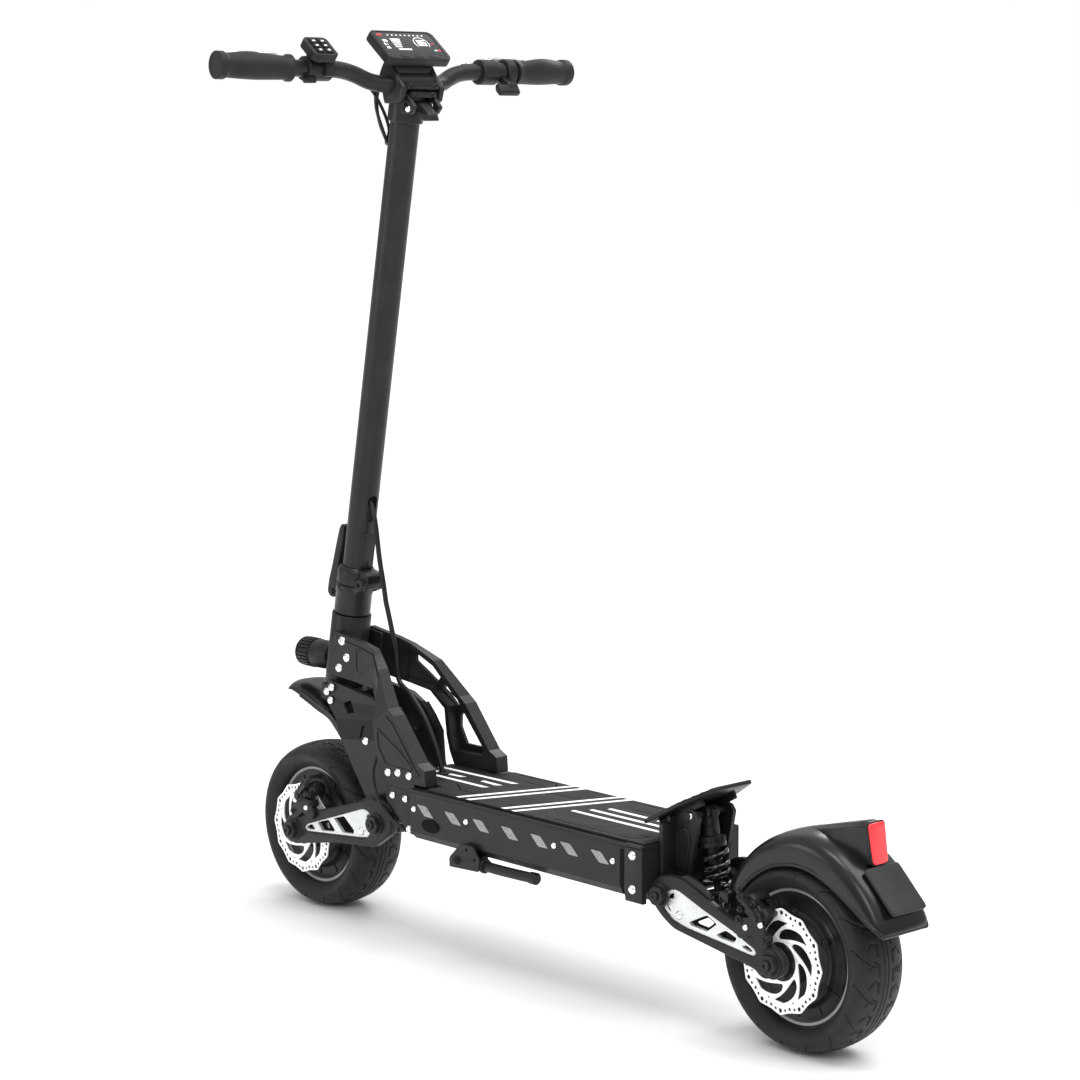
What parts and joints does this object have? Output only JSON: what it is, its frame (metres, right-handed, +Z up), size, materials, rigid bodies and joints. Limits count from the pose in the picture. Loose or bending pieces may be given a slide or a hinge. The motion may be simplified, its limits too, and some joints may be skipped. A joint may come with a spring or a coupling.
{
  "type": "electric kick scooter",
  "caption": "Folding electric kick scooter with hub motors, disc brakes, sprung swing arms, wide deck, rear kickplate, tall stem with handlebar, display and lights.",
  "frame": {"origin": "middle of the whole length and width, on the ground under the tyres", "axes": "+X forward towards the front wheel, +Y to the rider's left, +Z up"},
  "size_m": [1.2792, 0.655, 1.3284],
  "materials": {
    "frame_paint": "matt black powder coat",
    "dark_alloy": "dark grey anodised, satin",
    "bare_steel": "bright zinc-plated",
    "silver_alloy": "bead-blasted silver",
    "black_plastic": "fine-textured moulding",
    "black_rubber": "matt",
    "tyre_rubber": "matt with a faint sheen",
    "red_lens": "gloss, ribbed inside",
    "screen_glass": "gloss screen",
    "deck_grip": "grip tape grain with printed stripes",
    "battery_wrap": "shrink wrap"
  },
  "bodies": {
    "root": {"deck_tray": "frame_paint", "deck_cover": "frame_paint", "deck_mat": "deck_grip", "side_rail_left": "frame_paint", "side_rail_right": "frame_paint", "battery_pack": "battery_wrap", "motor_controller": "silver_alloy", "neck_plate_left": "frame_paint", "neck_plate_right": "frame_paint", "head_tube": "frame_paint", "headset_bearings": "bare_steel", "headlight": "black_plastic", "shock_tower": "frame_paint", "kickplate": "frame_paint", "rear_pivot_bolt": "dark_alloy", "main_cable_lower": "black_rubber"},
    "steering": {"steerer": "dark_alloy", "fork_plate_left": "frame_paint", "fork_plate_right": "frame_paint", "front_fender": "black_plastic", "hinge_base": "dark_alloy", "front_pivot_bolt": "dark_alloy"},
    "fold_lever": {"fold_lever": "dark_alloy"},
    "stem": {"stem_tube": "frame_paint", "handlebar": "frame_paint", "bar_clamp": "dark_alloy", "display_unit": "screen_glass", "grip_left": "black_rubber", "grip_right": "black_rubber", "switch_pod": "black_plastic", "throttle_housing": "black_plastic", "bar_cable_harness": "black_rubber", "main_cable_upper": "black_rubber"},
    "brake_lever_left": {"brake_lever_left": "silver_alloy"},
    "brake_lever_right": {"brake_lever_right": "silver_alloy"},
    "throttle": {"throttle_lever": "black_plastic"},
    "display_button_left": {"display_button_left": "black_rubber"},
    "display_button_middle": {"display_button_middle": "black_rubber"},
    "display_button_right": {"display_button_right": "black_rubber"},
    "pod_keypad": {"pod_keypad": "black_rubber"},
    "front_arm": {"front_swingarm": "dark_alloy", "front_axle": "dark_alloy", "front_caliper": "dark_alloy"},
    "front_wheel": {"front_tyre": "tyre_rubber", "front_hub_motor": "dark_alloy", "front_brake_disc": "bare_steel"},
    "front_shock_upper": {"front_shock_body": "dark_alloy"},
    "front_shock_lower": {"front_shock_rod": "bare_steel"},
    "rear_arm": {"rear_swingarm": "dark_alloy", "rear_axle": "dark_alloy", "rear_caliper": "dark_alloy", "rear_fender": "black_plastic", "tail_light": "red_lens"},
    "rear_wheel": {"rear_tyre": "tyre_rubber", "rear_hub_motor": "dark_alloy", "rear_brake_disc": "bare_steel"},
    "rear_shock_upper": {"rear_shock_body": "dark_alloy", "rear_shock_spring": "dark_alloy"},
    "rear_shock_lower": {"rear_shock_rod": "bare_steel"},
    "kickstand": {"kickstand_leg": "dark_alloy"}
  },
  "joints": [
    {"name": "steering_turn", "type": "hinge", "parent": "root", "child": "steering", "pos_m": [0.5197, 0, 0.127], "axis": [-0.1827, 0, 0.9832], "range_deg": [-35, 35], "deforming": ["main_cable_lower"]},
    {"name": "stem_fold", "type": "hinge", "parent": "steering", "child": "stem", "pos_m": [0.41441, 0, 0.50848], "axis": [0, -1, 0], "range_deg": [0, 90], "deforming": ["main_cable_upper"]},
    {"name": "fold_lever_swing", "type": "hinge", "parent": "steering", "child": "fold_lever", "pos_m": [0.49287, 0, 0.49021], "axis": [0, 1, 0], "range_deg": [0, 85]},
    {"name": "front_arm_swing", "type": "hinge", "parent": "steering", "child": "front_arm", "pos_m": [0.3134, 0, 0.1695], "axis": [0, -1, 0], "range_deg": [-4, 14], "stiffness_Nm_per_rad": 900},
    {"name": "front_wheel_spin", "type": "hinge", "parent": "front_arm", "child": "front_wheel", "pos_m": [0.5126, 0, 0.127], "axis": [0, 1, 0], "continuous": true},
    {"name": "front_shock_swing", "type": "hinge", "parent": "steering", "child": "front_shock_upper", "pos_m": [0.3604, 0, 0.318], "axis": [0, -1, 0], "range_deg": [-4, 4]},
    {"name": "front_shock_slide", "type": "slide", "parent": "front_shock_upper", "child": "front_shock_lower", "axis": [0.0889, 0, 0.996], "range_m": [-0.004, 0.012]},
    {"name": "rear_arm_swing", "type": "hinge", "parent": "root", "child": "rear_arm", "pos_m": [-0.2806, 0, 0.178], "axis": [0, 1, 0], "range_deg": [-4, 14], "stiffness_Nm_per_rad": 900},
    {"name": "rear_wheel_spin", "type": "hinge", "parent": "rear_arm", "child": "rear_wheel", "pos_m": [-0.4818, 0, 0.127], "axis": [0, 1, 0], "continuous": true},
    {"name": "rear_shock_swing", "type": "hinge", "parent": "root", "child": "rear_shock_upper", "pos_m": [-0.2956, 0, 0.281], "axis": [0, 1, 0], "range_deg": [-4, 6]},
    {"name": "rear_shock_slide", "type": "slide", "parent": "rear_shock_upper", "child": "rear_shock_lower", "axis": [0.172, 0, 0.9851], "range_m": [-0.004, 0.012], "deforming": ["rear_shock_spring"]},
    {"name": "kickstand_swing", "type": "hinge", "parent": "root", "child": "kickstand", "pos_m": [0.1034, 0.08, 0.158], "axis": [0, -1, 0], "range_deg": [0, 92]},
    {"name": "brake_lever_left_pull", "type": "hinge", "parent": "stem", "child": "brake_lever_left", "pos_m": [0.3534, 0.15, 1.27], "axis": [0, 0, 1], "range_deg": [0, 10], "stiffness_Nm_per_rad": 1.2},
    {"name": "brake_lever_right_pull", "type": "hinge", "parent": "stem", "child": "brake_lever_right", "pos_m": [0.3534, -0.15, 1.27], "axis": [0, 0, -1], "range_deg": [0, 10], "stiffness_Nm_per_rad": 1.2},
    {"name": "throttle_push", "type": "hinge", "parent": "stem", "child": "throttle", "pos_m": [0.322, -0.18, 1.2675], "axis": [-0.03, -0.9995, 0], "range_deg": [0, 40], "stiffness_Nm_per_rad": 0.1},
    {"name": "display_button_left_press", "type": "slide", "parent": "stem", "child": "display_button_left", "axis": [0.6293, 0, -0.7771], "range_m": [0, 0.001], "stiffness_N_per_m": 400},
    {"name": "display_button_middle_press", "type": "slide", "parent": "stem", "child": "display_button_middle", "axis": [0.6293, 0, -0.7771], "range_m": [0, 0.001], "stiffness_N_per_m": 400},
    {"name": "display_button_right_press", "type": "slide", "parent": "stem", "child": "display_button_right", "axis": [0.6293, 0, -0.7771], "range_m": [0, 0.001], "stiffness_N_per_m": 400},
    {"name": "pod_keypad_press", "type": "slide", "parent": "stem", "child": "pod_keypad", "axis": [0.6293, 0, -0.7771], "range_m": [0, 0.0008], "stiffness_N_per_m": 600}
  ],
  "couplings": [
    {"joint": "rear_shock_slide", "follows": "rear_arm_swing", "m_per_rad": 0.0345},
    {"joint": "rear_shock_swing", "follows": "rear_arm_swing", "ratio": 0.212},
    {"joint": "front_shock_slide", "follows": "front_arm_swing", "m_per_rad": 0.0348},
    {"joint": "front_shock_swing", "follows": "front_arm_swing", "ratio": 0.083}
  ]
}
